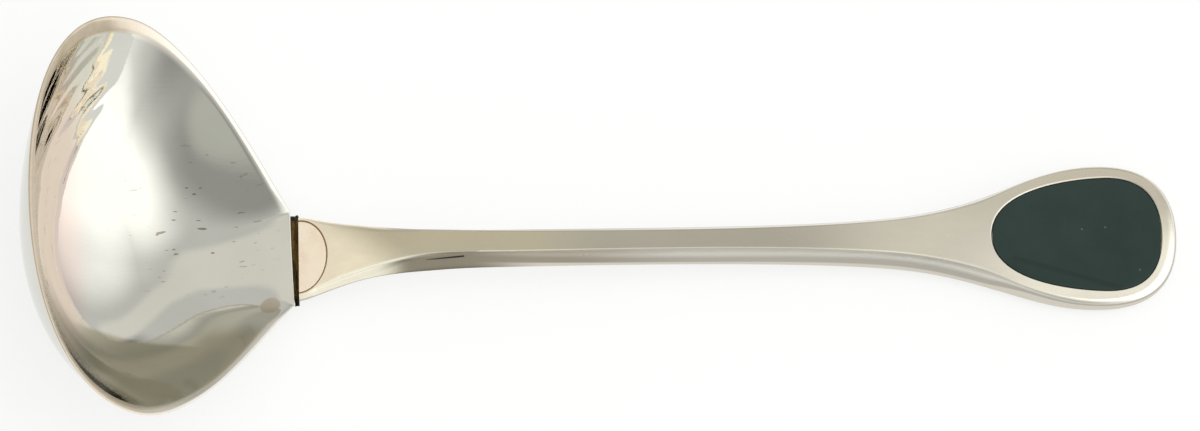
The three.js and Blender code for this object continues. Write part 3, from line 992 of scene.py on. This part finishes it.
def polished_steel(form):
    """Mirror-polished steel with faint clouds, scratches, waves, pits and a stain, a ground rim, and
    painted reflections on its -Y flank and front.
    """
    n = new_material("polished_steel")
    inside = inside_bowl(n)
    cloud = n.noise(n.point(), scale=60)
    rim = n.region(worn=(0.2, 0.9))
    ground = n.mix(n.noise(n.point(), scale=900), colour(186, 172, 150), colour(203, 190, 170))
    ground = n.mix(n.region(x=(-0.076, -0.060)), ground, colour(222, 218, 206))
    base = n.mix(rim, bowl_steel(n, cloud, inside), ground)
    pits = n.ramp(n.noise(n.stretched(0.3, 1, 1), scale=1300, detail=1), 0.69, 0.72, to_high=0.8)
    pits = n.product(pits, n.near(on_bowl(form, *PITS_AT), PITS_RADIUS, softness=0.6), inside)
    base = n.mix(pits, base, colour(134, 116, 88))
    stain = n.near(on_bowl(form, *STAIN_AT), STAIN_RADIUS, softness=0.12)
    base = n.mix(n.product(stain, STAIN_STRENGTH), base, colour(186, 172, 150))
    polish = n.ramp(cloud, 0.3, 0.8, to_low=0.03, to_high=0.07)
    film = n.product(n.region(depth=(0.013, 0.009), x=(-0.072, -0.077), y=(0.008, -0.004)), inside)
    scratches = n.noise(n.stretched(1, 9, 9), scale=240, detail=3)
    return n.surface(
        height=n.math("ADD", lip_waves(n, inside), n.product(scratches, SCRATCH_SHARE)),
        strength=1.0, distance=0.0006,
        Base_Color=base,
        Roughness=n.largest(polish, n.product(rim, RIM_ROUGHNESS), n.product(stain, STAIN_ROUGHNESS)),
        Metallic=n.ramp(film, 0, 1, to_low=1.0, to_high=FILM_METALLIC),
    )


# Handle's finish: places in the frame's metres, and strengths
FLARE_SLANT = 1.2
STREAK_START = (-0.0267, -0.0027, 0.0079)
STREAK_END = (-0.0211, -0.0022, 0.0079)
STREAK_WIDTH = 0.00017
# Painted highlight along the handle's -Y edge: its share on the stem, and its metallic value
HIGHLIGHT_ON_STEM = 0.1
HIGHLIGHT_METALLIC = 0.2
SATIN_METALLIC = 0.9


def satin_top(n):
    """The colours along the top of the handle, from its flare to its terminal: painted light and shade,
    cream at the flare, darker at mid-stem, lighter towards the root and on the terminal's -Y half.
    """
    slanted = n.math("ADD", n.field("x"), n.product(n.field("y"), FLARE_SLANT))
    stem = n.ramp(slanted, -0.040, -0.030)
    stem = n.mix(stem, colour(253, 241, 213), colour(193, 184, 158))
    middle = colour(178, 173, 157)
    root = colour(216, 210, 192)
    terminal = n.mix(n.region(y=(-0.004, 0.006)), colour(252, 247, 230), colour(206, 198, 180))
    # Painted light and shade along the top of the handle
    base = n.along(stem, ((-0.012, 0.001), middle), ((0.028, 0.046), root), ((0.046, 0.074), terminal))
    cloud = n.noise(n.stretched(1, 2, 2), scale=55, detail=5)
    return n.mix(n.ramp(cloud, 0.35, 0.7, to_high=0.3), base, colour(188, 184, 174))


def satin_side(n):
    """The side of the handle in painted light and shade: a painted highlight at the flare, dark at the
    neck, and lighter high up than low down along the stem.
    """
    upper = n.region(facing=(0.445, 0.585))
    flare = colour(248, 239, 214)
    neck = colour(142, 135, 118)
    stem = n.mix(upper, colour(158, 151, 136), colour(204, 195, 178))
    far = n.mix(upper, colour(178, 174, 164), colour(235, 231, 219))
    return n.along(flare, ((-0.036, -0.030), neck), ((-0.024, -0.010), stem), ((-0.006, 0.016), far))


def low_side(n, base):
    """A colour of the side, with painted shade low down and a painted reflection of the floor along the
    hem, where the side turns under, and on the lower side further along the stem.
    """
    shade = n.product(n.region(facing=(0.34, 0.14)), n.region(facing=(-0.14, -0.02)))
    base = n.mix(shade, base, colour(196, 195, 192), "MULTIPLY")
    # Painted reflection of the floor, lighter along the hem
    hem = n.region(facing=(0.385, 0.34), x=(-0.020, -0.008))
    hem = n.largest(hem, n.region(facing=(-0.02, -0.14)))
    return n.mix(hem, base, colour(213, 207, 194))


def painted_edge_highlight(n):
    """1 where a painted highlight lies along the edge, on the -Y side and most of all at the flare."""
    along = n.ramp(n.field("x"), -0.034, -0.022, to_low=1.0, to_high=HIGHLIGHT_ON_STEM)
    edge = n.product(n.region(worn=(0.5, 0.95)), along)
    flare = n.product(n.region(facing=(0.93, 0.82), x=(-0.029, -0.036)), n.region(facing=(0.1, 0.35)))
    return n.product(n.largest(edge, flare), n.region(y=(0.001, -0.001)))


def satin_steel():
    """Satin steel with a grain along the handle, painted light and shade on its top and side, a painted
    highlight along its -Y edge and a dark streak on its side.
    """
    n = new_material("satin_steel")
    # Painted light: the top and the side take differently lit colours
    base = n.mix(n.region(facing=(0.8, 0.62)), satin_top(n), satin_side(n))
    edge_highlight = painted_edge_highlight(n)
    # Painted highlight along the -Y edge
    base = n.mix(edge_highlight, low_side(n, base), colour(255, 250, 228))
    streak = n.beside(n.point(), STREAK_START, STREAK_END, STREAK_WIDTH, softness=0.5)
    grain = n.noise(n.stretched(0.06, 1, 1), scale=2600, detail=3)
    return n.surface(
        height=grain, strength=0.03, distance=0.0001,
        Base_Color=n.mix(streak, base, colour(52, 47, 40)),
        Roughness=n.ramp(grain, 0.2, 0.8, to_low=0.2, to_high=0.28),
        Metallic=n.ramp(edge_highlight, 0, 1, to_low=SATIN_METALLIC, to_high=HIGHLIGHT_METALLIC),
    )


def polished_lug():
    """Polished metal with a slight pink cast."""
    n = new_material("polished_lug")
    cloud = n.noise(n.point(), scale=300)
    return n.surface(
        height=n.noise(n.point(), scale=900, detail=3), strength=0.04, distance=0.0001,
        Base_Color=n.mix(n.ramp(cloud, 0.4, 0.7), colour(252, 237, 214), colour(248, 228, 204)),
        Roughness=n.ramp(cloud, 0.3, 0.8, to_low=0.2, to_high=0.3),
        Metallic=0.5,
    )


def slot_braze():
    """Dark tarnished braze, black at the ends of the slot."""
    n = new_material("slot_braze")
    cloud = n.noise(n.stretched(1, 0.12, 1), scale=1800)
    base = n.mix(n.ramp(cloud, 0.35, 0.65), colour(62, 48, 20), colour(112, 88, 42))
    ends = n.ramp(n.math("ABSOLUTE", n.field("y")), 0.0058, 0.0070)
    return n.surface(
        height=n.noise(n.point(), scale=3000), strength=0.5, distance=0.0002,
        Base_Color=n.mix(ends, base, colour(32, 27, 20)),
        Roughness=n.ramp(cloud, 0.3, 0.7, to_low=0.4, to_high=0.65),
        Metallic=0.7,
    )


def seam_braze():
    """The thin brown braze line round the lug."""
    n = new_material("seam_braze")
    cloud = n.noise(n.point(), scale=1100)
    return n.surface(
        height=cloud, strength=0.3, distance=0.0001,
        Base_Color=n.mix(n.ramp(cloud, 0.3, 0.7), colour(136, 98, 64), colour(168, 130, 92)),
        Roughness=n.ramp(cloud, 0.3, 0.7, to_low=0.4, to_high=0.6),
        Metallic=0.6,
    )


# Marks in the enamel, in the frame's metres
FAINT_START = (0.0634, -0.0039, 0.0039)
FAINT_END = (0.0794, -0.009, 0.0029)
FAINT_WIDTH = 0.0004
FAINT_STRENGTH = 0.5
SPECKS = ((0.0738, 0.0008, 0.0034), (0.0774, 0.0011, 0.0032), (0.0825, -0.006, 0.0027))
SPECK_RADIUS = 0.00015


def green_enamel():
    """Glossy dark green enamel with a few pale specks and a faint dark streak."""
    n = new_material("green_enamel")
    cloud = n.noise(n.point(), scale=180, detail=5)
    base = n.mix(n.ramp(cloud, 0.3, 0.7), colour(30, 48, 42), colour(34, 53, 47))
    streak = n.beside(n.point(), FAINT_START, FAINT_END, FAINT_WIDTH, softness=0.5)
    base = n.mix(n.product(streak, FAINT_STRENGTH), base, colour(26, 38, 34))
    for speck in SPECKS:
        base = n.mix(n.near(speck, SPECK_RADIUS, softness=0.5), base, colour(78, 95, 88))
    roughness = n.ramp(cloud, 0.2, 0.8, to_low=0.07, to_high=0.11)
    return n.surface(Base_Color=base, Roughness=roughness, Metallic=0.0, IOR=1.38)


def adhesive():
    """Matte adhesive."""
    n = new_material("adhesive")
    cloud = n.noise(n.point(), scale=500)
    return n.surface(
        height=cloud, strength=0.3, distance=0.0002,
        Base_Color=n.mix(cloud, colour(146, 141, 120), colour(128, 124, 104)),
        Roughness=n.ramp(cloud, 0.3, 0.7, to_low=0.7, to_high=0.85),
    )


# Camera, from pixels of the photograph
PHOTO_WIDTH = 1200
PHOTO_HEIGHT = 431
ORIGIN_PIXEL = (602.6, 259.5)
MM_PER_PIXEL = 0.15382
CAMERA_DISTANCE = 2559
FAR_CLIP = 10 * CAMERA_DISTANCE
VIEW_ROLL = math.radians(24.468)
VIEW_PITCH = math.radians(1.993)
VIEW_SPIN = math.radians(-1.13)
SENSOR = 36


def add_camera():
    """The photograph's view: from above, tipped towards the ladle's -Y side, from far away."""
    turn = Matrix.Rotation(VIEW_PITCH, 4, "Y") @ Matrix.Rotation(VIEW_ROLL, 4, "X")
    turn = turn @ Matrix.Rotation(VIEW_SPIN, 4, "Z")
    aside = (PHOTO_WIDTH / 2 - ORIGIN_PIXEL[0]) * MM_PER_PIXEL
    above = (ORIGIN_PIXEL[1] - PHOTO_HEIGHT / 2) * MM_PER_PIXEL
    eye = Vector((aside, above, CAMERA_DISTANCE)) * MM
    data = bpy.data.cameras.new("camera")
    data.sensor_width = SENSOR
    data.lens = SENSOR * CAMERA_DISTANCE / (PHOTO_WIDTH * MM_PER_PIXEL)
    data.clip_end = FAR_CLIP * MM
    camera = bpy.data.objects.new("camera", data)
    camera.matrix_world = turn @ Matrix.Translation(eye)
    bpy.context.scene.collection.objects.link(camera)
    bpy.context.scene.camera = camera


# Floor, in metres, and studio. A panel is an azimuth, an elevation and two angles between which it fades.
FLOOR_HALF = 6.0
FLOOR_HEIGHT = -0.00005
PAPER = (0.3, 0.3, 0.297, 1)
GLOW = (1, 1, 0.995, 1)
GLOW_STRENGTH = 0.71
ROOM = (0.74, 0.74, 0.74, 1)
DARK_WALL = (-137, 35, 15, 39)
DARK_CORNER = (-100, 14, 6, 22)
DARK = (0.42, 0.42, 0.42, 1)
SCREEN = (73, 2, 10, 24)
SCREEN_LIGHT = (0.39, 0.39, 0.39, 1)
STRIP_CORNERS = ((57, 12), (62, 22), (74, 50), (110, 65), (150, 50))
STRIP_WIDTH = 0.16
STRIP_LIGHT = (0.91, 0.9, 0.86, 1)
PALE_BOARD = (-126, 27, 8, 16)
PALE_LIGHT = (0.63, 0.64, 0.61, 1)
BRIGHT_LOW = (-19, 21, 29, 60)
BRIGHT_HIGH = (-30, 50, 19, 50)
BRIGHT_LIGHT = (1.66, 1.67, 1.69, 1)


def add_floor():
    """A pale floor that keeps the ladle's shadow and shows white, also in the metal."""
    signs = ((-1, -1), (1, -1), (1, 1), (-1, 1))
    corners = [(x * FLOOR_HALF, y * FLOOR_HALF, FLOOR_HEIGHT) for x, y in signs]
    mesh = bpy.data.meshes.new("floor")
    mesh.from_pydata(corners, [], [(0, 1, 2, 3)])
    n = new_material("floor")
    path = n.add("LightPath").outputs
    seen = n.largest(path["Is Camera Ray"], path["Is Glossy Ray"], path["Is Transmission Ray"])
    paper = n.add("BsdfDiffuse", Color=PAPER)
    glow = n.add("Emission", Color=GLOW, Strength=n.product(seen, GLOW_STRENGTH))
    both = n.add("AddShader", i0=paper.outputs[0], i1=glow.outputs[0])
    n.add("OutputMaterial", Surface=both.outputs[0])
    mesh.materials.append(n.owner)
    floor = bpy.data.objects.new("floor", mesh)
    bpy.context.scene.collection.objects.link(floor)


def towards(azimuth, elevation):
    """The direction at an azimuth and an elevation in degrees."""
    turn, rise = math.radians(azimuth), math.radians(elevation)
    return (math.cos(rise) * math.cos(turn), math.cos(rise) * math.sin(turn), math.sin(rise))


def add_world():
    """A studio of soft panels: bright past the handle, and darker on the other sides."""
    world = bpy.data.worlds.new("studio")
    bpy.context.scene.world = world
    n = Nodes(world)
    direction = n.add("TexCoord").outputs["Generated"]

    def panel(azimuth, elevation, inner, outer):
        """1 within an angle of a direction, fading to 0 at a wider angle. All angles are in degrees."""
        angle = n.math("ARCCOSINE", n.dot(direction, towards(azimuth, elevation)))
        return n.ramp(angle, math.radians(outer), math.radians(inner))

    corners = [towards(*angles) for angles in STRIP_CORNERS]
    runs = zip(corners, corners[1:])
    strip = n.largest(*[n.beside(direction, start, end, STRIP_WIDTH, softness=0.4) for start, end in runs])
    light = n.mix(panel(*DARK_WALL), ROOM, DARK)
    light = n.mix(panel(*DARK_CORNER), light, DARK)
    light = n.mix(panel(*SCREEN), light, SCREEN_LIGHT)
    light = n.mix(strip, light, STRIP_LIGHT)
    light = n.mix(panel(*PALE_BOARD), light, PALE_LIGHT)
    light = n.mix(n.largest(panel(*BRIGHT_LOW), panel(*BRIGHT_HIGH)), light, BRIGHT_LIGHT)
    background = n.add("Background", Color=light, Strength=1.0)
    n.add("OutputWorld", Surface=background.outputs[0])


# The ladle in its studio

def outer_tree(rings):
    """A search tree of the bowl's outer face, from the rings of the bowl's grid."""
    columns = rings.shape[1]
    points = [tuple(point) for point in rings[:WALL_STEPS + 1].reshape(-1, 3)]
    faces = []
    for row in range(WALL_STEPS):
        for column in range(columns):
            here = row * columns + column
            beside = row * columns + (column + 1) % columns
            faces.append((here, beside, beside + columns, here + columns))
    return BVHTree.FromPolygons(points, faces)


def build():
    """Makes the pieces of the ladle, each in the place of its node."""
    bowl_form = BowlForm()
    handle_form = HandleForm()
    grids = bowl_grids(bowl_form)
    tree = outer_tree(grids[0][0])
    make_piece("ladle_bowl", grids, polished_steel(bowl_form), "bowl")
    make_piece("ladle_handle", handle_grids(handle_form, tree), satin_steel(), "handle")
    make_piece("half_moon_lug", lug_grids(handle_form), polished_lug(), "bowl_lug")
    make_piece("lug_seam", lug_braze_grids(handle_form), seam_braze(), "lug_braze")
    braze_grids = slot_braze_grids(handle_form) + film_grids(handle_form, tree)
    make_piece("slot_fill", braze_grids, slot_braze(), "neck_braze")
    make_piece("green_inlay", inlay_grids(handle_form), green_enamel(), "inlay")
    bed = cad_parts["inlay_bed"].data
    bed.materials.clear()
    bed.materials.append(adhesive())


build()
add_floor()
add_world()
add_camera()
bpy.context.scene.view_settings.view_transform = "Standard"
